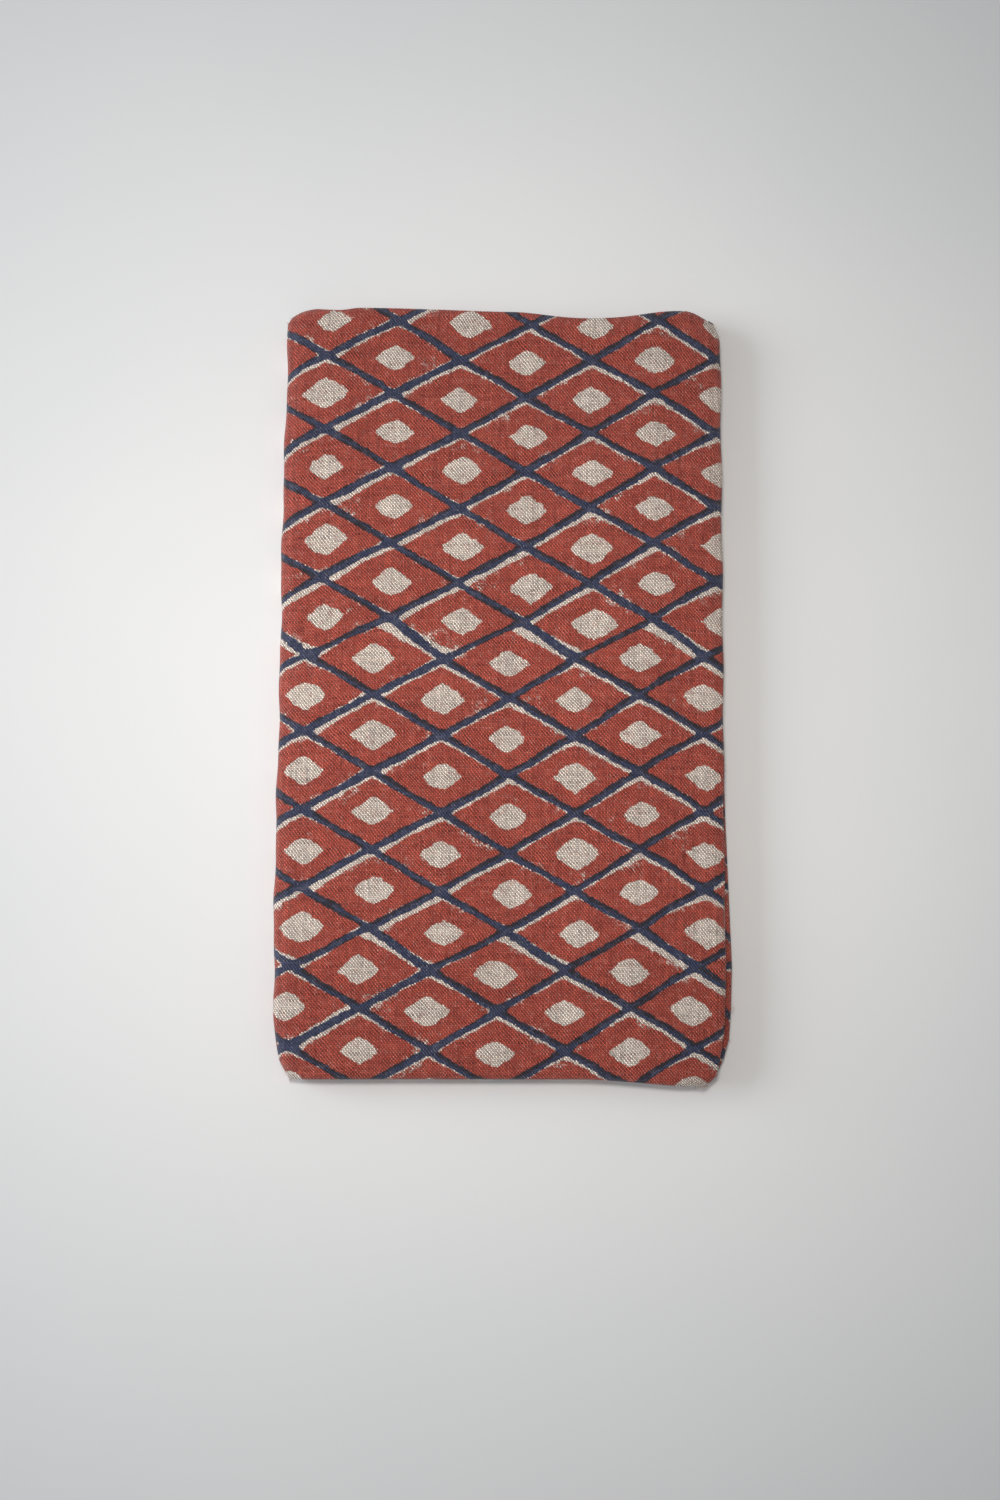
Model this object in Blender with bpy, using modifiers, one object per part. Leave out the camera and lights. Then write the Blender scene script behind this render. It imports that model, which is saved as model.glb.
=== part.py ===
"""Block-printed table runner, folded flat.

The cloth is one long strip. It is folded back and forth across its length
into six sections, and that stack is then folded once along its length, round
a spine on the left, so twelve layers lie on each other.
Metres, +Z up. The near end is at -Y, the spine is at -X, and the package
stands on Z = 0 with its box centred on the origin.
"""
import math
from collections import namedtuple

import bmesh
import bpy

# Driving sizes of the cloth and of the folded package
CLOTH = 0.0010            # thickness of the cloth
AIR = 0.00035             # air between two layers that lie on each other
SECTIONS = 6              # sections of the back-and-forth fold
SIDE_LEFT = -0.0888       # outer side of the spine
SIDE_RIGHT = 0.0888       # open side, where the long edges of the cloth lie
END_NEAR = -0.1545
END_FAR = 0.1552

# Sizes that follow
LAYER = CLOTH + AIR                         # from one layer to the next
SPINE_RADIUS = SECTIONS * LAYER - AIR / 2   # outer face of the spine
SPINE_X = SIDE_LEFT + SPINE_RADIUS
HEIGHT = 2 * SPINE_RADIUS

# Steps of the mesh: distances in from an edge, and steps round a bend
FROM_SIDE = (0.0, 0.003, 0.009, 0.040, 0.100, 0.145)
FROM_END = (0.0, 0.004, 0.012, 0.032, 0.075)
SPINE_STEPS = 10
FOLD_STEPS = 6

# How far each section's long edges lie past SIDE_RIGHT, the top section first.
# Upper and lower halves lie above and below the spine's middle.
Side = namedtuple("Side", "upper_near upper_far lower_near lower_far")
SIDES = (
    Side(-0.0022, 0.0000, -0.0030, -0.0022),
    Side(-0.0028, -0.0008, -0.0017, -0.0030),
    Side(-0.0025, -0.0018, -0.0014, -0.0016),
    Side(-0.0027, -0.0006, -0.0021, -0.0026),
    Side(-0.0024, -0.0014, -0.0008, -0.0010),
    Side(-0.0022, -0.0005, 0.0008, -0.0030),
)

# How far each end of the back-and-forth fold lies past END_NEAR or END_FAR,
# in the order met along the cloth: a loose end, five folds, a loose end
End = namedtuple("End", "name past")
ENDS = (
    End("loose end on top", 0.0),
    End("far fold 1", 0.0),
    End("near fold 1", -0.0011),
    End("far fold 2", -0.0014),
    End("near fold 2", -0.0006),
    End("far fold 3", -0.0004),
    End("loose end inside", -0.0018),
)

# Soft pulls on the package's outline. "along" is the pull's middle along its
# edge and "reach" where it fades out; "height" and "spread" do the same for
# the share of the package's height; "out" moves the edge outwards.
Pull = namedtuple("Pull", "edge along reach height spread out")
PULLS = (
    Pull("left", 0.160, 0.090, 1.0, 4.0, -0.0007),
    Pull("left", 0.045, 0.085, 1.0, 4.0, 0.0006),
    Pull("left", -0.085, 0.120, 0.7, 2.0, 0.0015),
    Pull("left", -0.162, 0.034, 1.0, 6.0, -0.0034),
    Pull("left", -0.158, 0.0115, 1.0, 6.0, -0.0032),
    Pull("left", 0.1605, 0.0095, 1.0, 6.0, -0.0090),
    Pull("right", -0.164, 0.036, 1.0, 6.0, -0.0052),
    Pull("right", -0.160, 0.010, 1.0, 6.0, -0.0075),
    Pull("right", 0.160, 0.012, 1.0, 1.2, -0.0030),
    Pull("right", -0.095, 0.070, 0.42, 0.30, 0.0012),
    Pull("right", -0.156, 0.016, 0.42, 0.25, -0.0040),
    Pull("right", 0.060, 0.045, 0.2, 0.40, 0.0009),
    Pull("far", -0.065, 0.075, 1.0, 2.0, 0.0015),
    Pull("far", -0.071, 0.011, 1.0, 1.6, -0.0009),
    Pull("far", 0.038, 0.034, 1.0, 1.2, -0.0030),
    Pull("far", 0.098, 0.022, 1.0, 0.9, -0.0080),
    Pull("near", 0.080, 0.050, 1.0, 3.0, 0.0026),
    Pull("near", -0.030, 0.060, 0.5, 0.6, -0.0010),
)
# Fine waves of the two long sides: wavelength, size and phase
Ripple = namedtuple("Ripple", "edge length size phase")
RIPPLES = (
    Ripple("left", 0.047, 0.00030, 0.8),
    Ripple("left", 0.0205, 0.00014, 2.0),
    Ripple("right", 0.039, 0.00025, 0.3),
)
RIGID_END = 0.003         # a pull moves this much of an end as one
PULL_FADE = 0.034         # and fades out over this length further in

# The top sinks near its open edges, as a share of the local height
Sink = namedtuple("Sink", "reach share")
SINK_RIGHT = Sink(0.006, 0.13)
SINK_NEAR = Sink(0.005, 0.09)
SINK_FAR = Sink(0.005, 0.06)
SINK_CORNER = Sink(0.016, 0.09)
# Slow swells of the top face: waves across, waves along, phase, share
Swell = namedtuple("Swell", "across along phase share")
SWELLS = (
    Swell(1.1, 0.7, 0.4, 0.012),
    Swell(0.4, 1.9, 1.9, 0.010),
    Swell(2.2, 1.3, 3.1, 0.006),
)

# Finish of the printed cloth
RED = (0.42, 0.075, 0.045, 1.0)
ROUGHNESS = 0.9
METALLIC = 0.0
SHARP_ANGLE = math.radians(50)


def smooth(t):
    """Rise from 0 to 1 with level ends."""
    t = min(max(t, 0.0), 1.0)
    return t * t * (3 - 2 * t)


def bell(t):
    """Fall from 1 at t = 0 to 0 at t = 1 on both sides."""
    return max(0.0, 1 - t * t) ** 2


def blend(a, b, t):
    return a + (b - a) * t


def sunk(distance, sink):
    """Share of its height that a point loses at this distance from an edge."""
    return sink.share * max(0.0, 1 - distance / sink.reach) ** 2


def length_steps():
    """Stations along the cloth: (section behind, section ahead, turn, y).

    The turn is 0 on a flat section and runs to pi round a fold.
    """
    loose = (0, SECTIONS)
    steps = []
    for section in range(SECTIONS):
        outward = 1 if section % 2 == 0 else -1
        near_end, far_end = (section, section + 1)[::outward]
        # A fold's own round takes the last half layer of a section's length
        near = END_NEAR - ENDS[near_end].past + (0 if near_end in loose else LAYER / 2)
        far = END_FAR + ENDS[far_end].past - (0 if far_end in loose else LAYER / 2)
        flat = [near + d for d in FROM_END] + [(near + far) / 2]
        flat += [far - d for d in reversed(FROM_END)]
        flat = flat[::outward]
        steps += [(section, section, 0.0, y) for y in flat]
        if section < SECTIONS - 1:
            for k in range(1, FOLD_STEPS):
                turn = math.pi * k / FOLD_STEPS
                y = flat[-1] + outward * LAYER / 2 * math.sin(turn)
                steps.append((section, section + 1, turn, y))
    return steps


def width_steps():
    """Stations across the cloth: (half, distance in from its edge), or the angle on the spine."""
    steps = [("upper", d) for d in FROM_SIDE]
    steps += [("spine", math.pi * k / SPINE_STEPS) for k in range(SPINE_STEPS + 1)]
    steps += [("lower", d) for d in reversed(FROM_SIDE)]
    return steps


def folded(across, along):
    """Place one point of the cloth's middle surface in the straight stack."""
    half, step = across
    behind, ahead, turn, y = along
    share = (1 - math.cos(turn)) / 2
    # Distance from the spine's axis: the top section lies furthest out
    radius = (SECTIONS - 0.5 - blend(behind, ahead, share)) * LAYER
    if half == "spine":
        x = SPINE_X - radius * math.sin(step)
        return x, y, SPINE_RADIUS + radius * math.cos(step)
    far_share = (y - END_NEAR) / (END_FAR - END_NEAR)
    past = []
    for section in (behind, ahead):
        side = SIDES[section]
        if half == "upper":
            past.append(blend(side.upper_near, side.upper_far, far_share))
        else:
            past.append(blend(side.lower_near, side.lower_far, far_share))
    x = SIDE_RIGHT + blend(past[0], past[1], share) - step
    return x, y, SPINE_RADIUS + (radius if half == "upper" else -radius)


def pulled(x, y, z):
    """Move a point of the straight stack to its place in the uneven one."""
    height = z / HEIGHT
    inward = {"left": x - SPINE_X, "right": SIDE_RIGHT - RIGID_END - x,
              "near": y - END_NEAR - RIGID_END, "far": END_FAR - RIGID_END - y}
    out = dict.fromkeys(inward, 0.0)
    for pull in PULLS:
        place = y if pull.edge in ("left", "right") else x
        weight = bell((place - pull.along) / pull.reach)
        weight *= bell((height - pull.height) / pull.spread)
        out[pull.edge] += pull.out * weight
    for ripple in RIPPLES:
        out[ripple.edge] += ripple.size * math.sin(math.tau * y / ripple.length + ripple.phase)
    for edge in out:
        out[edge] *= 1 - smooth(inward[edge] / PULL_FADE)

    right = SIDE_RIGHT - x
    near = y - END_NEAR
    far = END_FAR - y
    sink = sunk(right, SINK_RIGHT) + sunk(near, SINK_NEAR) + sunk(far, SINK_FAR)
    for side in (right, x - SIDE_LEFT):
        for end in (near, far):
            sink += sunk(math.hypot(side, end), SINK_CORNER)
    for swell in SWELLS:
        wave = swell.across * x / SIDE_RIGHT + swell.along * y / END_FAR
        sink += swell.share * (1 + math.sin(math.pi * wave + swell.phase))
    return x + out["right"] - out["left"], y + out["far"] - out["near"], z * (1 - sink)


def make_middle_surface():
    """Fold a flat grid, one vertex for each pair of stations."""
    across = width_steps()
    along = length_steps()
    grid = bmesh.new()
    bmesh.ops.create_grid(grid, x_segments=len(across) - 1, y_segments=len(along) - 1, size=0.5)
    for vertex in grid.verts:
        column = round((vertex.co.x + 0.5) * (len(across) - 1))
        row = round((vertex.co.y + 0.5) * (len(along) - 1))
        vertex.co = folded(across[column], along[row])
    mesh = bpy.data.meshes.new("middle surface")
    grid.to_mesh(mesh)
    grid.free()
    return mesh


def make_material():
    material = bpy.data.materials.new("printed cloth")
    material.use_nodes = True
    shader = material.node_tree.nodes["Principled BSDF"]
    shader.inputs["Base Color"].default_value = RED
    shader.inputs["Roughness"].default_value = ROUGHNESS
    shader.inputs["Metallic"].default_value = METALLIC
    return material


def make_runner(collection):
    """Thicken the folded surface, then pull the stack out of true."""
    sheet = bpy.data.objects.new("folded sheet", make_middle_surface())
    collection.objects.link(sheet)
    thicken = sheet.modifiers.new("cloth thickness", "SOLIDIFY")
    thicken.thickness = CLOTH
    thicken.offset = 0
    thicken.use_even_offset = True
    evaluated = sheet.evaluated_get(bpy.context.evaluated_depsgraph_get())
    mesh = bpy.data.meshes.new_from_object(evaluated)
    bpy.data.objects.remove(sheet)
    for vertex in mesh.vertices:
        vertex.co = pulled(*vertex.co)
    mesh.name = "runner"
    mesh.materials.append(make_material())
    mesh.shade_smooth()
    mesh.set_sharp_from_angle(angle=SHARP_ANGLE)
    runner = bpy.data.objects.new("runner", mesh)
    collection.objects.link(runner)
    return runner


def main():
    for leftover in list(bpy.data.objects):
        bpy.data.objects.remove(leftover)
    collection = bpy.data.collections.new("block-printed table runner")
    bpy.context.scene.collection.children.link(collection)
    make_runner(collection)


main()
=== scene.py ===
"""Block-printed table runner, folded flat: the looks.

The cloth is one thin sheet on the solid's folds, with the print and the weave
as a procedural material. Metres, +Z up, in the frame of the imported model: the
near end is at -Y and the spine at -X.
"""
import math
import random
from collections import namedtuple

import bmesh
import bpy
import numpy as np
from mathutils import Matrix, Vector


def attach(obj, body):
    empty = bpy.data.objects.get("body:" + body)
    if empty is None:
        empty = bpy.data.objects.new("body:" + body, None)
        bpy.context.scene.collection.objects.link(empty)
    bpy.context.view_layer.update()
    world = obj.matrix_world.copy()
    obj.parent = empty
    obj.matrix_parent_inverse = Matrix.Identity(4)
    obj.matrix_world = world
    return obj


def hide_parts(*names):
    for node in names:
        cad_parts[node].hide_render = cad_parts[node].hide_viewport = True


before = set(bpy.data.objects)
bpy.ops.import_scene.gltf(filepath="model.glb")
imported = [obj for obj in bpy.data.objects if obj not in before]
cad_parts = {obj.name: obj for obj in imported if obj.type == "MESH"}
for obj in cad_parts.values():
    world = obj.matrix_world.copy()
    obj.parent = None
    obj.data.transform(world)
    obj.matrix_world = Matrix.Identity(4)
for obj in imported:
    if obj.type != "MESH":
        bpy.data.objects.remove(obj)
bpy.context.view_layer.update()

# Sizes of the fold, as the solid has them
LAYER = 0.00135           # from one layer to the next
AIR = 0.00035             # air between the solid's layers
SECTIONS = 6              # sections of the back-and-forth fold
SIDE_LEFT = -0.0888       # outer side of the spine
SIDE_RIGHT = 0.0888       # open side
END_NEAR = -0.1545
END_FAR = 0.1552
SPINE_RADIUS = SECTIONS * LAYER - AIR / 2
SPINE_X = SIDE_LEFT + SPINE_RADIUS
HEIGHT = 2 * SPINE_RADIUS
CLOTH = 0.00098           # thickness of the sheet that is shown

# How far each section's long edges lie past SIDE_RIGHT, the top section first.
# Upper and lower halves lie above and below the spine's middle.
Side = namedtuple("Side", "upper_near upper_far lower_near lower_far")
SIDES = (
    Side(-0.0022, 0.0000, -0.0030, -0.0022),
    Side(-0.0028, -0.0008, -0.0017, -0.0030),
    Side(-0.0025, -0.0018, -0.0014, -0.0016),
    Side(-0.0027, -0.0006, -0.0021, -0.0026),
    Side(-0.0024, -0.0014, -0.0008, -0.0010),
    Side(-0.0022, -0.0005, 0.0008, -0.0030),
)
# How far each end of the sections lies past END_NEAR or END_FAR, in the order
# met along the cloth: a loose end, five folds, a loose end
ENDS_PAST = (0.0, 0.0, -0.0011, -0.0014, -0.0006, -0.0004, -0.0018)

# Soft pulls on the package's outline. "along" is the pull's middle along its
# edge and "reach" where it fades out; "height" and "spread" do the same for
# the share of the package's height; "out" moves the edge outwards.
Pull = namedtuple("Pull", "edge along reach height spread out")
PULLS = (
    Pull("left", 0.160, 0.090, 1.0, 4.0, -0.0007),
    Pull("left", 0.045, 0.085, 1.0, 4.0, 0.0006),
    Pull("left", -0.085, 0.120, 0.7, 2.0, 0.0015),
    Pull("left", -0.162, 0.034, 1.0, 6.0, -0.0034),
    Pull("left", -0.158, 0.0115, 1.0, 6.0, -0.0032),
    Pull("left", 0.1605, 0.0095, 1.0, 6.0, -0.0090),
    Pull("right", -0.164, 0.036, 1.0, 6.0, -0.0052),
    Pull("right", -0.160, 0.010, 1.0, 6.0, -0.0075),
    Pull("right", 0.160, 0.012, 1.0, 1.2, -0.0030),
    Pull("right", -0.095, 0.070, 0.42, 0.30, 0.0012),
    Pull("right", -0.156, 0.016, 0.42, 0.25, -0.0040),
    Pull("right", 0.060, 0.045, 0.2, 0.40, 0.0009),
    Pull("far", -0.065, 0.075, 1.0, 2.0, 0.0015),
    Pull("far", -0.071, 0.011, 1.0, 1.6, -0.0009),
    Pull("far", 0.038, 0.034, 1.0, 1.2, -0.0030),
    Pull("far", 0.098, 0.022, 1.0, 0.9, -0.0080),
    Pull("near", 0.080, 0.050, 1.0, 3.0, 0.0026),
    Pull("near", -0.030, 0.060, 0.5, 0.6, -0.0010),
)
# Fine waves of the two long sides
Ripple = namedtuple("Ripple", "edge length size phase")
RIPPLES = (
    Ripple("left", 0.047, 0.00030, 0.8),
    Ripple("left", 0.0205, 0.00014, 2.0),
    Ripple("right", 0.039, 0.00025, 0.3),
)
RIGID_END = 0.003         # a pull moves this much of an end as one
PULL_FADE = 0.034         # and fades out over this length further in

# The top sinks near its open edges, as a share of the local height
Sink = namedtuple("Sink", "reach share")
SINK_RIGHT = Sink(0.006, 0.13)
SINK_NEAR = Sink(0.005, 0.09)
SINK_FAR = Sink(0.005, 0.06)
SINK_CORNER = Sink(0.016, 0.09)
# Slow swells of the top face: waves across and along, phase, share
Swell = namedtuple("Swell", "across along phase share")
SWELLS = (
    Swell(1.1, 0.7, 0.4, 0.012),
    Swell(0.4, 1.9, 1.9, 0.010),
    Swell(2.2, 1.3, 3.1, 0.006),
)

# Mesh steps of the shown sheet, as distances in from an end or a long edge.
# The outer section and the upper half are the ones that are seen, so they
# have fine, even steps after the first close ones.
FROM_END = (0.0, 0.0015, 0.004, 0.008, 0.015, 0.026, 0.042, 0.065, 0.1)
FROM_SIDE = (0.0, 0.001, 0.002, 0.004, 0.007, 0.011, 0.017, 0.026, 0.040, 0.06,
             0.085, 0.11, 0.135, 0.155)
CLOSE_TO_END = FROM_END[:3]
CLOSE_TO_SIDE = FROM_SIDE[:5]
OUTER_STEP = 0.0024       # even step along the outer section
OUTER_CLEAR = 0.005       # which keeps this far from its ends
UPPER_STEP = 0.0029       # even step across the upper half
UPPER_CLEAR = 0.001       # which keeps this far from the last close one
SPINE_CLEAR = 0.0045      # and this far from the spine
SPINE_STEPS = 20
FOLD_STEPS = 8

MM = 1000.0               # millimetres in a metre

# The weave and the print, in millimetres of flat cloth
THREAD_ACROSS = 0.64      # from one warp thread to the next
THREAD_ALONG = 0.76       # from one weft thread to the next
TWIST = 0.5               # slant of a float, as a share of a thread
REPEAT_X = 52.8           # the trellis's repeat
REPEAT_Y = 30.9
LINE_HALF = 1.46          # half the width of a printed line
LOZENGE = (24.2, 13.3)    # half sizes of a red lozenge
DOT = (8.0, 5.6)          # half sizes of the bare dot in it
TRELLIS_Y = 57.4          # a row of crossings of the lines
SPREAD = 0.00038          # a slight fan of the columns, per millimetre
BOW = 0.0005              # a slight bow of the rows, per millimetre
BEND_END = 90.0           # both grow up to here, from the middle column
# The two blocks: where each one's middle column starts, and how far it creeps
# sideways for each millimetre along. The red block is set down a little off
# the blue one, so it also has a step along the cloth and a turn.
BLUE_X, BLUE_TILT = -0.2, 0.014
RED_X, RED_TILT = -3.8, -0.008
RED_Y, RED_TURN = -1.2, -0.009
CREEP_END = 170.0         # the creep grows no more past this place
# Past SIDE_SEAM, on the underside, the next impressions across are set over
SIDE_SEAM = -145.0
SIDE_STEP = 8.0
# Seams between impressions of the blocks: place along the cloth, the same in
# rows of lozenges from TRELLIS_Y, and how far the next ones are set over
Seam = namedtuple("Seam", "along row blue red")
SEAMS = (
    Seam(143.0, 2.75, 0.0, 1.2),
    Seam(19.0, -1.25, 4.8, 8.3),
    Seam(-103.0, -5.25, 2.9, 5.9),
)
SEAM_HALF = 9.0           # half the length over which lines run on to the next

# Unevenness. A waver is smooth noise with a grain in millimetres, a jog is one
# chance value for each thread crossing, thread or lozenge, and a cloud is a
# noise that is turned into a share between its start and end.
Waver = namedtuple("Waver", "grain seed size")
Jog = namedtuple("Jog", "seed size")
Cloud = namedtuple("Cloud", "grain seed start end")
PLAIN_DETAIL = 2.0        # octaves of a noise
FINE_DETAIL = 3.0
NOISE_LAYERS = 7.3        # seeds lie this far apart in the noise
CHANCE_LAYERS = 3.7       # and this far apart in the chance values
# The block was cut by hand and set down by hand
HAND_U = Waver(17.0, 1, 1.0)
HAND_V = Waver(15.0, 2, 0.9)
# Ink lands thread by thread
RAGGED_THREAD = Jog(3, 0.55)
RAGGED_WIDE = Waver(2.1, 4, 0.85)
RAGGED_FINE = Waver(0.8, 5, 0.35)
INK_EDGE = 0.16           # half the width of an ink's edge
# How unevenly lines, lozenges and dots are set down, how round an outline is,
# and how much it wavers and is ragged
LINE_WIDTH = Waver(9.0, 6, 0.75)
LINE_RAGGED = 0.62
LINE_FILLET = 2.0         # how softly two lines run together at a crossing
LOZENGE_U = Jog(7, 0.8)
LOZENGE_V = Jog(8, 0.7)
DOT_U = Jog(10, 1.5)
DOT_V = Jog(11, 0.8)
DOT_SIZE = Jog(12, 1.0)
EDGE_WAVER = Waver(5.2, 9, 1.1)
Edge = namedtuple("Edge", "roundness waver ragged")
LOZENGE_EDGE = Edge(1.07, 0.45, 0.7)
DOT_EDGE = Edge(1.28, 0.9, 0.6)
# Dry patches, mostly near a lozenge's rim, and stains past it
DRY_GRAIN, DRY_SEED = 13.0, 13
DRY_FINE = Waver(3.0, 14, 0.5)
DRY_RIM = 3.5             # width of the rim
DRY_RIM_SHARE = 0.30
DRY_RANGE = (0.32, 0.75)
DRY_LOSS = 0.85           # share of the ink that a bare speck lacks
SPECK_SEED = 15
SPECK_WIDE = Waver(1.3, 16, 0.9)
SPECK_RANGE = (-0.12, 0.12)
STAIN_REACH = 2.0
STAIN = Cloud(4.0, 17, -0.05, 0.35)
STAIN_SHARE = 0.30
STAIN_SPECK_RANGE = (-0.3, 0.35)

# The threads: how straight they run, in millimetres and in threads
WARP_WAVER = Waver(11.0, 20, 0.9)
WARP_UNEVEN = Waver(1.9, 21, 0.35)
WEFT_WAVER = Waver(9.0, 22, 0.9)
WEFT_UNEVEN = Waver(1.7, 23, 0.35)
DIP = 0.45                # how far a thread sinks where it goes under
# Slubs, thick places that run along one thread
SLUB_GRAIN = 14.0
SLUB_APART = 9.1          # keeps the noise of two threads apart
WARP_SLUB_SEED = 24
WEFT_SLUB_SEED = 26
WARP_THICK = Jog(25, 0.5)
WEFT_THICK = Jog(27, 0.5)
SLUB_LIFT = 0.5
# Light and dark threads, and painted light and shade on the weave
TONE_SLUB = 0.30
TONE_WIDE = Waver(6.0, 28, 0.10)
TONE_THREAD = Jog(29, 0.40)
PAINTED_WARP_LIGHT = 0.70          # painted light: warp floats painted lighter than weft floats, for light from the left
PAINTED_WEAVE_SHADE = (0.08, 0.80, 0.12, 1.33)     # painted shade in the hollows and painted highlight on the crowns: height from, to; brightness from, to
# Places where ink has worn off the raised threads
WORN_HEIGHT = 0.5
WORN_WIDE = Waver(2.5, 30, 0.6)
WORN_THREAD = Jog(31, 0.4)
WORN_RANGE = (0.35, 0.9)
WORN_BLUE = 0.8           # blue wears less than red
LINEN_CLOUD = Cloud(8.0, 32, -0.4, 0.4)
RED_CLOUD = Cloud(5.0, 33, -0.5, 0.5)
BLUE_CLOUD = Cloud(3.0, 34, -0.1, 0.5)
THIN_SHARE = 0.5          # how much of BLUE_THIN shows at most
# Relief and gloss
BUMP_THREAD = 0.16
BUMP_CLOTH = Waver(5.0, 35, 0.10)
BUMP_STRENGTH = 0.9
BUMP_DISTANCE = 0.001
ROUGH_CLOTH, ROUGH_LESS_BLUE, ROUGH_LESS_RED = 0.93, 0.10, 0.06
CLOTH_SPECULAR = 0.25
CLOTH_SHEEN = 0.35
CLOTH_SHEEN_ROUGH = 0.5
# The sides of the sheet: how much of the ink shows and how worn it is
Face = namedtuple("Face", "name ink wear")
FACES = (
    Face("printed cloth", 1.0, 0.12),
    Face("printed cloth, reverse", 0.96, 0.18),
    Face("printed cloth, edge", 0.95, 0.25),
)

# Finish: colours of the cloth, the inks, the table and the light
LINEN_LIGHT = (0.77, 0.66, 0.58, 1.0)
LINEN_DARK = (0.67, 0.57, 0.50, 1.0)
RED_INK = (0.455, 0.078, 0.050, 1.0)
RED_INK_DEEP = (0.365, 0.056, 0.037, 1.0)
BLUE_INK = (0.035, 0.044, 0.098, 1.0)
BLUE_ON_RED = (0.024, 0.020, 0.030, 1.0)
BLUE_THIN = (0.080, 0.092, 0.160, 1.0)
FIBRE_DYED = (0.50, 0.30, 0.25, 1.0)
FIBRE_CLOUD = Cloud(3.0, 40, -0.3, 0.3)
FIBRE_ROUGH = 0.85
FLOOR_LIGHT = (0.93, 0.93, 0.93, 1.0)
FLOOR_SHADE = (0.90, 0.905, 0.91, 1.0)
FLOOR_CLOUD = Cloud(180.0, 50, -0.5, 0.5)
FLOOR_ROUGH = 0.6
FLOOR_SPECULAR = 0.2
FLOOR_HALF = 3.0          # half the floor's side
FLOOR_DROP = 0.0001       # how far below the cloth the floor lies
WORLD_COLOUR = (1.01, 1.0, 0.98, 1.0)
WORLD_STRENGTH = 0.28
Light = namedtuple("Light", "name location target size power colour spread")
LIGHTS = (
    Light("softbox on the left", (-1.528, 0.146, 0.825), (-0.030, 0.0, 0.0),
          (1.04, 1.04), 9.2, (0.95, 1.01, 1.09), 143.3),
    Light("softbox overhead", (-0.043, 0.006, 1.0), (-0.043, 0.006, 0.0),
          (0.109, 0.109), 0.335, (1.0, 0.958, 0.905), 48.0),
)
CAMERA_LENS = 50.0
CAMERA_SENSOR = 36.0
CAMERA_AT = (-0.0011, -0.1404, 0.8313)
CAMERA_TILT = 8.0         # degrees from straight down

# Loose fibres in tufts at the cloth's edges. A tuft's heading is in degrees.
FIBRE_RADIUS = 0.00005
FIBRE_STEPS = 3           # from a fibre's root to its tip
FIBRE_TAPER = 0.2         # share of the radius lost at each step
FIBRE_SPREAD_Z = 0.0015
FIBRE_FAN = 0.9           # how far a fibre may head to a side, in radians
FIBRE_CURL = 2.2          # how far it may turn on its way
FIBRE_RISE = (-0.25, 0.45)
FIBRE_STRETCH = (0.35, 1.1)
Tuft = namedtuple("Tuft", "x y z spread_x spread_y heading length count")
TUFTS = (
    Tuft(0.0780, -0.1580, 0.0100, 0.0025, 0.0005, -75, 0.0026, 34),
    Tuft(0.0720, -0.1580, 0.0100, 0.0060, 0.0005, -90, 0.0016, 12),
    Tuft(0.0900, -0.0450, 0.0120, 0.0005, 0.0160, 0, 0.0018, 14),
    Tuft(0.0930, -0.1330, 0.0070, 0.0005, 0.0100, -20, 0.0020, 10),
    Tuft(0.0900, 0.1480, 0.0120, 0.0005, 0.0060, 20, 0.0018, 8),
    Tuft(-0.0900, 0.1520, 0.0100, 0.0005, 0.0030, 150, 0.0016, 5),
    Tuft(-0.0840, -0.1580, 0.0060, 0.0020, 0.0005, -100, 0.0018, 6),
)

# Soft creases and troughs pressed into the top: a line from one point to
# another, the width to each side and the depth
Crease = namedtuple("Crease", "x0 y0 x1 y1 width depth")
CREASES = (
    Crease(0.004, -0.155, 0.000, 0.155, 0.058, 0.00080),
    Crease(-0.088, -0.170, -0.088, 0.170, 0.027, 0.00200),
    Crease(0.014, -0.150, 0.008, 0.150, 0.030, 0.00045),
    Crease(-0.062, -0.140, -0.058, 0.140, 0.022, 0.00020),
    Crease(0.070, -0.135, 0.073, 0.020, 0.014, 0.00018),
    Crease(0.020, 0.156, 0.047, 0.128, 0.012, 0.00045),
    Crease(0.052, 0.156, 0.040, 0.132, 0.009, 0.00030),
    Crease(-0.085, -0.060, -0.060, -0.064, 0.007, 0.00016),
    Crease(-0.085, 0.038, -0.058, 0.033, 0.006, 0.00014),
    Crease(0.088, -0.135, 0.060, -0.118, 0.010, 0.00040),
    Crease(-0.086, -0.135, -0.060, -0.120, 0.010, 0.00035),
    Crease(0.030, -0.154, 0.024, -0.130, 0.010, 0.00020),
)
CREASE_ROOT = 0.5         # share of the height below which none is left


def smooth(t):
    """Rise from 0 to 1 with level ends."""
    t = np.clip(t, 0.0, 1.0)
    return t * t * (3 - 2 * t)


def bell(t):
    """Fall from 1 at t = 0 to 0 at t = 1 on both sides."""
    return np.maximum(0.0, 1 - t * t) ** 2


def blend(a, b, t):
    return a + (b - a) * t


def sunk(distance, sink):
    """Share of its height that a point loses at this distance from an edge."""
    return sink.share * np.maximum(0.0, 1 - distance / sink.reach) ** 2


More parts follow.
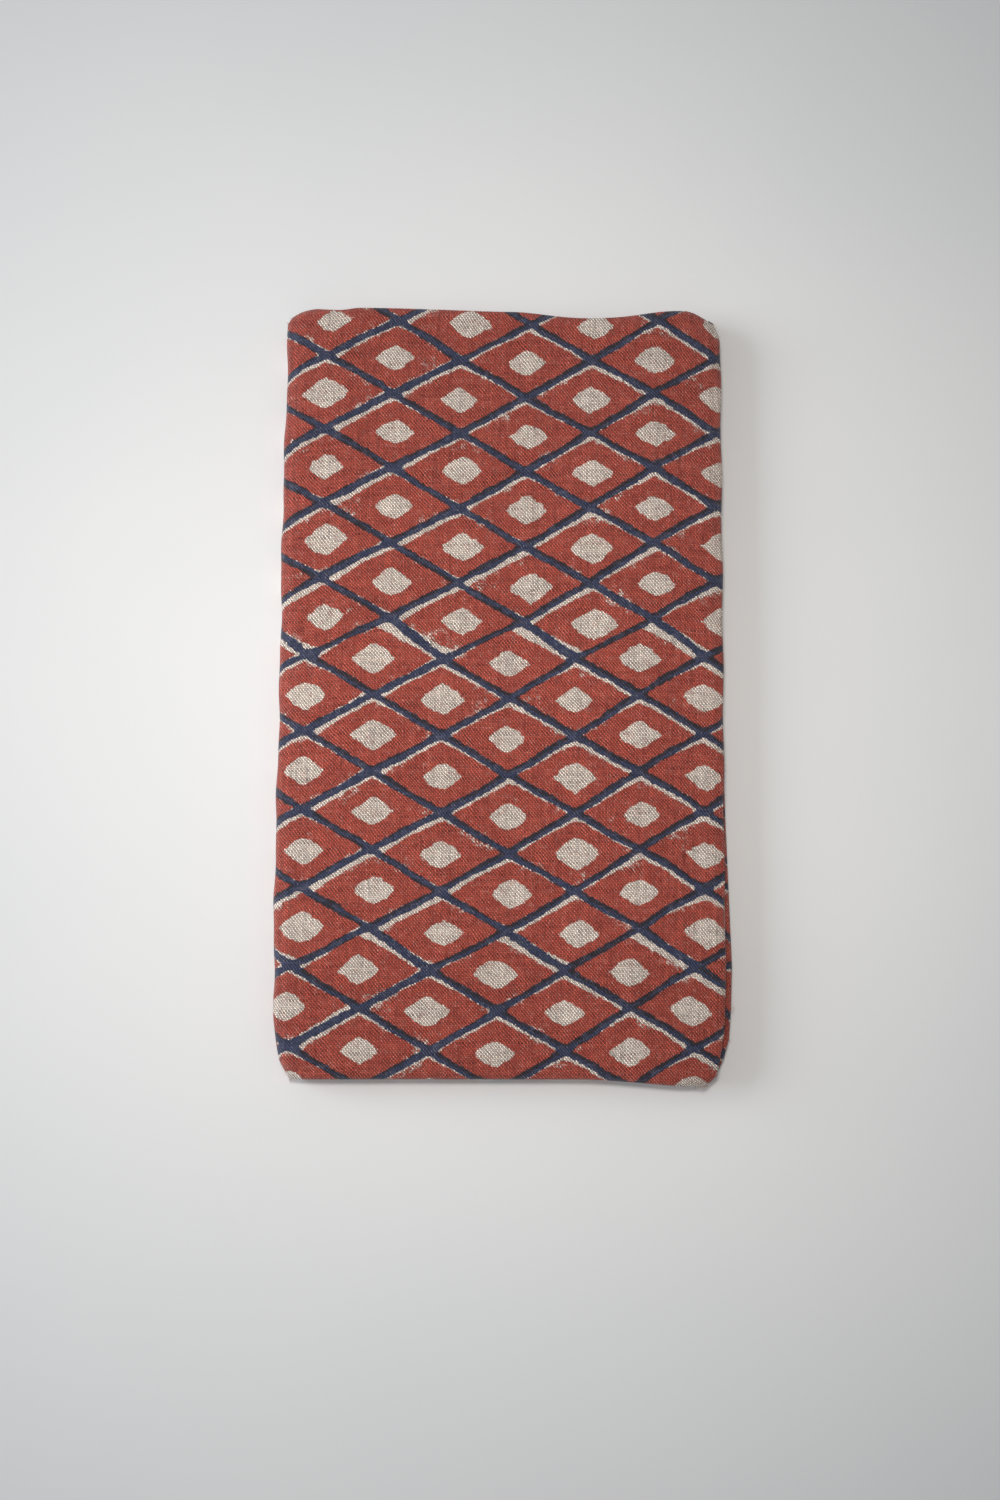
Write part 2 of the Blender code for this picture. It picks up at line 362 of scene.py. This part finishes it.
def length_steps():
    """Stations along the cloth, as arrays: section behind, ahead, turn, y.

    The turn is 0 on a flat section and runs to pi round a fold.
    """
    loose = (0, SECTIONS)
    rows = []
    for section in range(SECTIONS):
        outward = 1 if section % 2 == 0 else -1
        near_end, far_end = (section, section + 1)[::outward]
        # A fold's own round takes the last half layer of a section's length
        near = END_NEAR - ENDS_PAST[near_end] + (0 if near_end in loose else LAYER / 2)
        far = END_FAR + ENDS_PAST[far_end] - (0 if far_end in loose else LAYER / 2)
        if section == 0:
            even = np.linspace(near, far, round((far - near) / OUTER_STEP))
            flat = [near + d for d in CLOSE_TO_END]
            flat += [y for y in even if near + OUTER_CLEAR < y < far - OUTER_CLEAR]
            flat += [far - d for d in reversed(CLOSE_TO_END)]
        else:
            flat = [near + d for d in FROM_END] + [(near + far) / 2]
            flat += [far - d for d in reversed(FROM_END)]
        flat = flat[::outward]
        rows += [(section, section, 0.0, y) for y in flat]
        if section < SECTIONS - 1:
            for k in range(1, FOLD_STEPS):
                turn = math.pi * k / FOLD_STEPS
                y = flat[-1] + outward * LAYER / 2 * math.sin(turn)
                rows.append((section, section + 1, turn, y))
    return [np.array(column) for column in zip(*rows)]


def width_steps():
    """Stations across the cloth, as arrays: part and step.

    Part 0 is the upper half and part 2 the lower half, where the step is the
    distance in from the long edge. Part 1 is the spine, where it is the angle.
    """
    even = np.arange(UPPER_STEP * 2, SIDE_RIGHT - SPINE_X - SPINE_CLEAR, UPPER_STEP)
    rows = [(0, d) for d in CLOSE_TO_SIDE]
    rows += [(0, d) for d in even if d > CLOSE_TO_SIDE[-1] + UPPER_CLEAR]
    rows += [(1, math.pi * k / SPINE_STEPS) for k in range(SPINE_STEPS + 1)]
    rows += [(2, d) for d in reversed(FROM_SIDE)]
    return [np.array(column) for column in zip(*rows)]


def folded(across, along):
    """The cloth's middle surface in the straight stack, as (rows, columns, 3)."""
    part, step = (a[None, :] for a in across)
    behind, ahead, turn, y = (a[:, None] for a in along)
    share = (1 - np.cos(turn)) / 2
    # Distance from the spine's axis: the top section lies furthest out
    radius = (SECTIONS - 0.5 - blend(behind, ahead, share)) * LAYER
    sides = np.array(SIDES)
    far_share = (y - END_NEAR) / (END_FAR - END_NEAR)
    # Each section's own long edge, blended round the folds
    past = []
    for column in (0, 2):
        edge = blend(sides[:, column], sides[:, column + 1], far_share)
        here = np.take_along_axis(edge, behind.astype(int), 1)
        there = np.take_along_axis(edge, ahead.astype(int), 1)
        past.append(blend(here, there, share))
    flat_x = SIDE_RIGHT + np.where(part == 0, past[0], past[1]) - step
    x = np.where(part == 1, SPINE_X - radius * np.sin(step), flat_x)
    z = np.where(part == 1, radius * np.cos(step), np.where(part == 0, radius, -radius))
    return np.stack(np.broadcast_arrays(x, y, SPINE_RADIUS + z), -1)


def pulled(points):
    """Move points of the straight stack to their place in the uneven one."""
    x, y, z = points[..., 0], points[..., 1], points[..., 2]
    height = z / HEIGHT
    inward = {"left": x - SPINE_X, "right": SIDE_RIGHT - RIGID_END - x,
              "near": y - END_NEAR - RIGID_END, "far": END_FAR - RIGID_END - y}
    out = {edge: np.zeros_like(x) for edge in inward}
    for pull in PULLS:
        place = y if pull.edge in ("left", "right") else x
        weight = bell((place - pull.along) / pull.reach)
        weight = weight * bell((height - pull.height) / pull.spread)
        out[pull.edge] += pull.out * weight
    for ripple in RIPPLES:
        out[ripple.edge] += ripple.size * np.sin(math.tau * y / ripple.length + ripple.phase)
    for edge in out:
        out[edge] *= 1 - smooth(inward[edge] / PULL_FADE)
    right = SIDE_RIGHT - x
    near = y - END_NEAR
    far = END_FAR - y
    sink = sunk(right, SINK_RIGHT) + sunk(near, SINK_NEAR) + sunk(far, SINK_FAR)
    for side in (right, x - SIDE_LEFT):
        for end in (near, far):
            sink = sink + sunk(np.hypot(side, end), SINK_CORNER)
    for swell in SWELLS:
        wave = swell.across * x / SIDE_RIGHT + swell.along * y / END_FAR
        sink = sink + swell.share * (1 + np.sin(math.pi * wave + swell.phase))
    moved = (x + out["right"] - out["left"], y + out["far"] - out["near"], z * (1 - sink))
    return np.stack(moved, -1)


def creased(points):
    """Press the soft creases into the upper layers, less with depth."""
    x, y, z = points[..., 0], points[..., 1], points[..., 2]
    depth = np.zeros_like(x)
    for crease in CREASES:
        run = np.array((crease.x1 - crease.x0, crease.y1 - crease.y0))
        share = ((x - crease.x0) * run[0] + (y - crease.y0) * run[1]) / (run @ run)
        share = np.clip(share, 0.0, 1.0)
        away = np.hypot(x - crease.x0 - share * run[0], y - crease.y0 - share * run[1])
        depth += crease.depth * bell(away / crease.width)
    result = points.copy()
    result[..., 2] = z - depth * smooth((z / HEIGHT - CREASE_ROOT) / (1 - CREASE_ROOT))
    return result


def path_length(points, axis):
    """Distance along one direction of the grid, from its first line."""
    steps = np.linalg.norm(np.diff(points, axis=axis), axis=-1)
    first = np.zeros_like(np.take(steps, [0], axis=axis))
    return np.concatenate((first, np.cumsum(steps, axis=axis)), axis=axis)


def make_sheet(materials):
    """The cloth: a flat grid folded by formula, thickened, then made uneven."""
    across, along = width_steps(), length_steps()
    middle = folded(across, along)
    rows, columns = middle.shape[:2]
    placed = creased(pulled(middle))
    # Flat-cloth coordinates, equal to x and y on the top of the package
    flat_u = placed[:, :1, 0] - path_length(placed, 1)
    flat_v = placed[:1, :, 1] + path_length(placed, 0)
    grid = bmesh.new()
    bmesh.ops.create_grid(grid, x_segments=columns - 1, y_segments=rows - 1, size=0.5)
    layer = grid.loops.layers.uv.new("cloth")
    place = {}
    for vertex in grid.verts:
        # The grid runs from the spine's side, so its faces look outwards on top
        column = columns - 1 - round((vertex.co.x + 0.5) * (columns - 1))
        row = round((vertex.co.y + 0.5) * (rows - 1))
        vertex.co = middle[row, column]
        place[vertex] = (flat_u[row, column], flat_v[row, column])
    for face in grid.faces:
        face.smooth = True
        for loop in face.loops:
            loop[layer].uv = place[loop.vert]
    mesh = bpy.data.meshes.new("runner_sheet")
    grid.to_mesh(mesh)
    grid.free()
    for material in materials:
        mesh.materials.append(material)
    sheet = bpy.data.objects.new("runner_sheet", mesh)
    bpy.context.scene.collection.objects.link(sheet)
    thicken = sheet.modifiers.new("cloth thickness", "SOLIDIFY")
    thicken.thickness = CLOTH
    thicken.offset = 0
    thicken.material_offset = 1
    thicken.material_offset_rim = 2
    evaluated = sheet.evaluated_get(bpy.context.evaluated_depsgraph_get())
    solid = bpy.data.meshes.new_from_object(evaluated)
    sheet.modifiers.clear()
    sheet.data = solid
    bpy.data.meshes.remove(mesh)
    points = np.empty(len(solid.vertices) * 3)
    solid.vertices.foreach_get("co", points)
    points = creased(pulled(points.reshape(-1, 3)))
    solid.vertices.foreach_set("co", points.ravel())
    solid.shade_smooth()
    solid.update()
    flat_size = (float(np.ptp(flat_u, axis=1).mean()), float(np.ptp(flat_v, axis=0).mean()))
    return sheet, flat_size


# ---------------------------------------------------------------- materials

class Term:
    """A socket of a node tree that can be used in formulas."""

    def __init__(self, tree, socket):
        self.tree = tree
        self.socket = socket

    def math(self, operation, *others):
        node = self.tree.nodes.new("ShaderNodeMath")
        node.operation = operation
        for place, term in enumerate((self, *others)):
            plug(self.tree, node.inputs[place], term)
        return Term(self.tree, node.outputs[0])

    def __add__(self, other):
        return self.math("ADD", other)

    def __sub__(self, other):
        return self.math("SUBTRACT", other)

    def __mul__(self, other):
        return self.math("MULTIPLY", other)

    def __truediv__(self, other):
        return self.math("DIVIDE", other)

    def __neg__(self):
        return self.math("MULTIPLY", -1.0)

    __radd__ = __add__
    __rmul__ = __mul__

    def __rsub__(self, other):
        return (-self).math("ADD", other)

    def floor(self):
        return self.math("FLOOR")

    def fract(self):
        return self.math("FRACT")

    def absolute(self):
        return self.math("ABSOLUTE")

    def sine(self):
        return self.math("SINE")

    def power(self, exponent):
        return self.math("POWER", exponent)

    def lower(self, other):
        return self.math("MINIMUM", other)

    def upper(self, other):
        return self.math("MAXIMUM", other)

    def above(self, other):
        return self.math("GREATER_THAN", other)

    def ramp(self, start, end, low=0.0, high=1.0):
        """Rise smoothly from low at start to high at end."""
        node = self.tree.nodes.new("ShaderNodeMapRange")
        node.interpolation_type = "SMOOTHSTEP"
        for place, term in zip(("Value", "From Min", "From Max", "To Min", "To Max"),
                               (self, start, end, low, high)):
            plug(self.tree, node.inputs[place], term)
        return Term(self.tree, node.outputs["Result"])


def plug(tree, socket, term):
    if isinstance(term, Term):
        tree.links.new(term.socket, socket)
    else:
        socket.default_value = term


def noise(u, v, grain, seed, detail=PLAIN_DETAIL):
    """Smooth noise about 0, mostly from -0.5 to 0.5, with features of one size."""
    tree = u.tree
    place = tree.nodes.new("ShaderNodeCombineXYZ")
    for socket, term in zip(place.inputs, (u / grain, v / grain, seed * NOISE_LAYERS)):
        plug(tree, socket, term)
    node = tree.nodes.new("ShaderNodeTexNoise")
    node.noise_dimensions = "3D"
    node.inputs["Scale"].default_value = 1.0
    node.inputs["Detail"].default_value = detail
    tree.links.new(place.outputs[0], node.inputs["Vector"])
    return (Term(tree, node.outputs["Fac"]) - 0.5) * 2.0


def chance(u, v, seed):
    """A random number from -0.5 to 0.5 for each whole pair u, v."""
    tree = u.tree
    place = tree.nodes.new("ShaderNodeCombineXYZ")
    for socket, term in zip(place.inputs, (u, v, seed * CHANCE_LAYERS)):
        plug(tree, socket, term)
    node = tree.nodes.new("ShaderNodeTexWhiteNoise")
    tree.links.new(place.outputs[0], node.inputs["Vector"])
    return Term(tree, node.outputs["Value"]) - 0.5


def waver(u, v, kind):
    return noise(u, v, kind.grain, kind.seed) * kind.size


def jog(u, v, kind):
    return chance(u, v, kind.seed) * kind.size


def cloud(u, v, kind, detail=PLAIN_DETAIL):
    return noise(u, v, kind.grain, kind.seed, detail).ramp(kind.start, kind.end)


def mix_colour(tree, share, first, second, kind="MIX"):
    node = tree.nodes.new("ShaderNodeMix")
    node.data_type = "RGBA"
    node.blend_type = kind
    # With colours, the shared factor is input 0 and the two colours are 6 and 7
    for place, value in ((0, share), (6, first), (7, second)):
        plug(tree, node.inputs[place], value)
    return Term(tree, node.outputs[2])


def object_place(tree):
    """Millimetres across and along, in the object's own frame."""
    place = tree.nodes.new("ShaderNodeTexCoord")
    parts = tree.nodes.new("ShaderNodeSeparateXYZ")
    tree.links.new(place.outputs["Object"], parts.inputs[0])
    return Term(tree, parts.outputs["X"]) * MM, Term(tree, parts.outputs["Y"]) * MM


def cloth_place(tree):
    """Millimetres across and along the flat cloth."""
    uv = tree.nodes.new("ShaderNodeUVMap")
    uv.uv_map = "cloth"
    parts = tree.nodes.new("ShaderNodeSeparateXYZ")
    tree.links.new(uv.outputs["UV"], parts.inputs[0])
    return Term(tree, parts.outputs["X"]) * MM, Term(tree, parts.outputs["Y"]) * MM


def blue_creep(v):
    """How far the blue impressions have crept sideways at v, in mm."""
    total = v.upper(-CREEP_END).lower(CREEP_END) * BLUE_TILT + BLUE_X
    for seam in SEAMS:
        total = total + v.ramp(seam.along - SEAM_HALF, seam.along + SEAM_HALF) * seam.blue
    return total


def red_creep(v, row):
    """The same for the red ones, at a lozenge's centre and row."""
    total = v.upper(-CREEP_END).lower(CREEP_END) * RED_TILT + RED_X
    for seam in SEAMS:
        total = total + row.above(seam.row) * seam.red
    return total


def printed_masks(u, v, threads):
    """Where the red and the blue ink lie, from 0 to 1."""
    warp, weft = threads
    hand_u = u + waver(u, v, HAND_U)
    hand_v = v + waver(u, v, HAND_V)
    ragged = jog(warp, weft, RAGGED_THREAD) + waver(u, v, RAGGED_WIDE) + waver(u, v, RAGGED_FINE)

    # Trellis coordinates: blue lines lie where s or t is whole
    side = hand_u - blue_creep(hand_v)
    side = side + side.ramp(SIDE_SEAM + SEAM_HALF, SIDE_SEAM - SEAM_HALF) * SIDE_STEP
    bend = side.upper(-BEND_END).lower(BEND_END)
    bend = bend * bend
    a = (side + bend * SPREAD) / REPEAT_X
    b = (hand_v - bend * BOW - TRELLIS_Y) / REPEAT_Y
    s, t = a + b, a - b
    across_line = REPEAT_X * REPEAT_Y / math.hypot(REPEAT_X, REPEAT_Y)
    off_s = (s - (s + 0.5).floor()).absolute() * across_line
    off_t = (t - (t + 0.5).floor()).absolute() * across_line
    off = off_s.math("SMOOTH_MIN", off_t, LINE_FILLET)
    width = LINE_HALF + waver(u, v, LINE_WIDTH)
    blue = (off + ragged * LINE_RAGGED - width).ramp(INK_EDGE, -INK_EDGE)

    # Red lozenges, one in each cell, each with its own small shift
    row_s, row_t = s.floor(), t.floor()
    cell_a = (row_s + row_t + 1.0) * 0.5
    cell_b = (row_s - row_t) * 0.5
    from_side = cell_a * REPEAT_X
    centre_bend = (from_side * from_side).lower(BEND_END ** 2)
    centre_v = cell_b * REPEAT_Y + TRELLIS_Y + centre_bend * BOW
    centre_v = centre_v + RED_Y + from_side * RED_TURN
    centre_u = from_side - centre_bend * SPREAD + red_creep(centre_v, cell_b)
    centre_u = centre_u - from_side.math("LESS_THAN", SIDE_SEAM) * SIDE_STEP
    x = hand_u - centre_u + jog(row_s, row_t, LOZENGE_U)
    y = hand_v - centre_v + jog(row_s, row_t, LOZENGE_V)
    edge = waver(u, v, EDGE_WAVER)
    lozenge = outline_distance(x, y, LOZENGE, LOZENGE_EDGE.roundness)
    lozenge = lozenge + edge * LOZENGE_EDGE.waver + ragged * LOZENGE_EDGE.ragged
    dot_x = x + jog(row_s, row_t, DOT_U)
    dot_y = y + jog(row_s, row_t, DOT_V)
    dot = outline_distance(dot_x, dot_y, DOT, DOT_EDGE.roundness) - jog(row_s, row_t, DOT_SIZE)
    dot = dot + edge * DOT_EDGE.waver + ragged * DOT_EDGE.ragged
    red = lozenge.ramp(INK_EDGE, -INK_EDGE) * dot.ramp(-INK_EDGE, INK_EDGE)

    # Dry patches, where only the raised threads took the ink
    dry = noise(u, v, DRY_GRAIN, DRY_SEED, FINE_DETAIL) + waver(u, v, DRY_FINE)
    dry = dry + lozenge.ramp(-DRY_RIM, 0.0) * DRY_RIM_SHARE
    speck = chance(warp, weft, SPECK_SEED) + waver(u, v, SPECK_WIDE)
    bare = dry.ramp(*DRY_RANGE) * speck.ramp(*SPECK_RANGE)
    red = red * (1.0 - bare * DRY_LOSS)
    # A faint stain of ink round the lozenges and in the dots
    stain = lozenge.ramp(STAIN_REACH, 0.0) * cloud(u, v, STAIN) * STAIN_SHARE
    stain = stain * speck.ramp(*STAIN_SPECK_RANGE)
    red = red.upper(stain)
    return red, blue


def outline_distance(x, y, half, roundness):
    """Rough distance outside a lozenge with bulging sides, in mm."""
    ratio = ((x / half[0]).absolute().power(roundness)
             + (y / half[1]).absolute().power(roundness)).power(1 / roundness)
    return (ratio - 1.0) * (half[0] * half[1] / math.hypot(*half))


def make_cloth(name, ink, wear):
    """Plain-weave cloth with the block print.

    ink is how much of the print shows and wear how much of it has rubbed off
    the raised threads.
    """
    material = bpy.data.materials.new(name)
    material.use_nodes = True
    tree = material.node_tree
    shader = tree.nodes["Principled BSDF"]
    u, v = cloth_place(tree)

    # Threads, a little uneven in width and never quite straight
    p = (u + waver(u, v, WARP_WAVER)) / THREAD_ACROSS + waver(u, v, WARP_UNEVEN)
    q = (v + waver(u, v, WEFT_WAVER)) / THREAD_ALONG + waver(u, v, WEFT_UNEVEN)
    warp, weft = p.floor(), q.floor()
    # The yarn's twist slants each short float
    warp_round = (p.fract() + (q.fract() - 0.5) * TWIST).lower(1.0).upper(0.0)
    weft_round = (q.fract() + (p.fract() - 0.5) * TWIST).lower(1.0).upper(0.0)
    warp_round = (warp_round * math.pi).sine()
    weft_round = (weft_round * math.pi).sine()
    over = ((warp + weft) * 0.5).fract() * 2.0
    warp_height = warp_round * (weft_round * DIP + (1 - DIP))
    weft_height = weft_round * (warp_round * DIP + (1 - DIP))
    height = weft_height + (warp_height - weft_height) * over
    warp_slub = noise(warp * SLUB_APART, v, SLUB_GRAIN, WARP_SLUB_SEED)
    warp_slub = warp_slub + jog(warp, 0.0 * warp, WARP_THICK)
    weft_slub = noise(u, weft * SLUB_APART, SLUB_GRAIN, WEFT_SLUB_SEED)
    weft_slub = weft_slub + jog(0.0 * weft, weft, WEFT_THICK)
    slub = weft_slub + (warp_slub - weft_slub) * over
    height = height * (slub * SLUB_LIFT + 1.0)

    red, blue = printed_masks(u, v, (warp, weft))
    thread_tone_and_light = slub * TONE_SLUB + waver(u, v, TONE_WIDE) + jog(warp, weft, TONE_THREAD)
    # Painted light: warp floats are made lighter than weft floats
    thread_tone_and_light = thread_tone_and_light + (over - 0.5) * PAINTED_WARP_LIGHT
    # Painted shade in the hollows between threads and painted highlight on their crowns
    depth = height.ramp(*PAINTED_WEAVE_SHADE)
    worn = height * WORN_HEIGHT + waver(u, v, WORN_WIDE) + jog(warp, weft, WORN_THREAD)
    worn = worn.ramp(*WORN_RANGE)
    colour = mix_colour(tree, cloud(u, v, LINEN_CLOUD), LINEN_LIGHT, LINEN_DARK)
    red_ink = mix_colour(tree, cloud(u, v, RED_CLOUD), RED_INK, RED_INK_DEEP)
    colour = mix_colour(tree, red * ink * (1.0 - worn * wear), colour, red_ink)
    blue_ink = mix_colour(tree, red, BLUE_INK, BLUE_ON_RED)
    blue_ink = mix_colour(tree, cloud(u, v, BLUE_CLOUD) * THIN_SHARE, blue_ink, BLUE_THIN)
    colour = mix_colour(tree, blue * ink * (1.0 - worn * wear * WORN_BLUE), colour, blue_ink)
    # The threads' own tone times the painted shade and highlight of the weave
    tone_and_painted_shading = depth * (thread_tone_and_light + 1.0)
    grey = tree.nodes.new("ShaderNodeCombineColor")
    for socket in grey.inputs[:3]:
        plug(tree, socket, tone_and_painted_shading)
    colour = mix_colour(tree, 1.0, colour, Term(tree, grey.outputs[0]), "MULTIPLY")
    plug(tree, shader.inputs["Base Color"], colour)
    # Ink fills the threads a little, so printed places are smoother
    roughness = ROUGH_CLOTH - blue * ROUGH_LESS_BLUE - red * ROUGH_LESS_RED
    plug(tree, shader.inputs["Roughness"], roughness)
    shader.inputs["Specular IOR Level"].default_value = CLOTH_SPECULAR
    shader.inputs["Sheen Weight"].default_value = CLOTH_SHEEN
    shader.inputs["Sheen Roughness"].default_value = CLOTH_SHEEN_ROUGH

    bump = tree.nodes.new("ShaderNodeBump")
    bump.inputs["Strength"].default_value = BUMP_STRENGTH
    bump.inputs["Distance"].default_value = BUMP_DISTANCE
    plug(tree, bump.inputs["Height"], height * BUMP_THREAD + waver(u, v, BUMP_CLOTH))
    tree.links.new(bump.outputs["Normal"], shader.inputs["Normal"])
    return material


def make_fibre_material():
    material = bpy.data.materials.new("loose cotton fibres")
    material.use_nodes = True
    tree = material.node_tree
    shader = tree.nodes["Principled BSDF"]
    x, y = object_place(tree)
    colour = mix_colour(tree, cloud(x, y, FIBRE_CLOUD), LINEN_LIGHT, FIBRE_DYED)
    plug(tree, shader.inputs["Base Color"], colour)
    shader.inputs["Roughness"].default_value = FIBRE_ROUGH
    return material


def make_floor_material():
    material = bpy.data.materials.new("white table top")
    material.use_nodes = True
    tree = material.node_tree
    shader = tree.nodes["Principled BSDF"]
    x, y = object_place(tree)
    share = cloud(x, y, FLOOR_CLOUD, FINE_DETAIL)
    plug(tree, shader.inputs["Base Color"], mix_colour(tree, share, FLOOR_LIGHT, FLOOR_SHADE))
    shader.inputs["Roughness"].default_value = FLOOR_ROUGH
    shader.inputs["Specular IOR Level"].default_value = FLOOR_SPECULAR
    return material


# ------------------------------------------------------------ loose fibres

def make_fibres(sheet):
    """Fine fibres that stand off the cloth's edges, as one curve object."""
    dice = random.Random(11)
    mesh = sheet.data
    cloth = np.empty(len(mesh.vertices) * 3)
    mesh.vertices.foreach_get("co", cloth)
    cloth = cloth.reshape(-1, 3)
    curve = bpy.data.curves.new("loose_fibres", "CURVE")
    curve.dimensions = "3D"
    curve.bevel_depth = FIBRE_RADIUS
    curve.bevel_resolution = 0
    curve.resolution_u = 3
    for tuft in TUFTS:
        for _ in range(tuft.count):
            wanted = np.array((tuft.x + dice.uniform(-1, 1) * tuft.spread_x,
                               tuft.y + dice.uniform(-1, 1) * tuft.spread_y,
                               tuft.z + dice.uniform(-1, 1) * FIBRE_SPREAD_Z))
            # Each fibre starts at the cloth's nearest point
            place = Vector(cloth[np.argmin(((cloth - wanted) ** 2).sum(1))])
            heading = math.radians(tuft.heading) + dice.uniform(-FIBRE_FAN, FIBRE_FAN)
            turn = dice.uniform(-FIBRE_CURL, FIBRE_CURL)
            rise = dice.uniform(*FIBRE_RISE)
            stride = tuft.length * dice.uniform(*FIBRE_STRETCH) / FIBRE_STEPS
            spline = curve.splines.new("BEZIER")
            spline.bezier_points.add(FIBRE_STEPS)
            for step, point in enumerate(spline.bezier_points):
                point.co = place
                point.handle_left_type = point.handle_right_type = "AUTO"
                point.radius = 1.0 - FIBRE_TAPER * step
                angle = heading + turn * step / FIBRE_STEPS
                place = place + Vector((math.cos(angle), math.sin(angle), rise)) * stride
                place.z = max(place.z, FIBRE_RADIUS)
    fibres = bpy.data.objects.new("loose_fibres", curve)
    bpy.context.scene.collection.objects.link(fibres)
    curve.materials.append(make_fibre_material())
    return fibres


# -------------------------------------------------- floor, light and camera

def make_floor():
    mesh = bpy.data.meshes.new("floor")
    plane = bmesh.new()
    bmesh.ops.create_grid(plane, x_segments=1, y_segments=1, size=FLOOR_HALF)
    plane.to_mesh(mesh)
    plane.free()
    mesh.materials.append(make_floor_material())
    floor = bpy.data.objects.new("floor", mesh)
    floor.location.z = -FLOOR_DROP
    bpy.context.scene.collection.objects.link(floor)
    return floor


def make_light(name, location, target, size, power, colour, spread):
    lamp = bpy.data.lights.new(name, "AREA")
    lamp.shape = "RECTANGLE"
    lamp.size, lamp.size_y = size
    lamp.energy = power
    lamp.color = colour
    lamp.spread = math.radians(spread)
    item = bpy.data.objects.new(name, lamp)
    item.location = location
    item.rotation_euler = (Vector(target) - item.location).to_track_quat("-Z", "Y").to_euler()
    bpy.context.scene.collection.objects.link(item)


def make_surroundings():
    scene = bpy.context.scene
    world = bpy.data.worlds.new("studio")
    world.use_nodes = True
    background = world.node_tree.nodes["Background"]
    background.inputs["Color"].default_value = WORLD_COLOUR
    background.inputs["Strength"].default_value = WORLD_STRENGTH
    scene.world = world
    scene.view_settings.view_transform = "Standard"
    scene.view_settings.look = "None"
    for light in LIGHTS:
        make_light(*light)

    camera_data = bpy.data.cameras.new("photo angle")
    camera_data.lens = CAMERA_LENS
    camera_data.sensor_width = CAMERA_SENSOR
    camera = bpy.data.objects.new("photo angle", camera_data)
    camera.location = CAMERA_AT
    camera.rotation_euler = (math.radians(CAMERA_TILT), 0.0, 0.0)
    scene.collection.objects.link(camera)
    scene.camera = camera


def main():
    make_surroundings()
    floor = make_floor()
    sheet, flat_size = make_sheet([make_cloth(*face) for face in FACES])
    fibres = make_fibres(sheet)

    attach(sheet, "root")
    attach(fibres, "root")
    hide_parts("runner")


main()
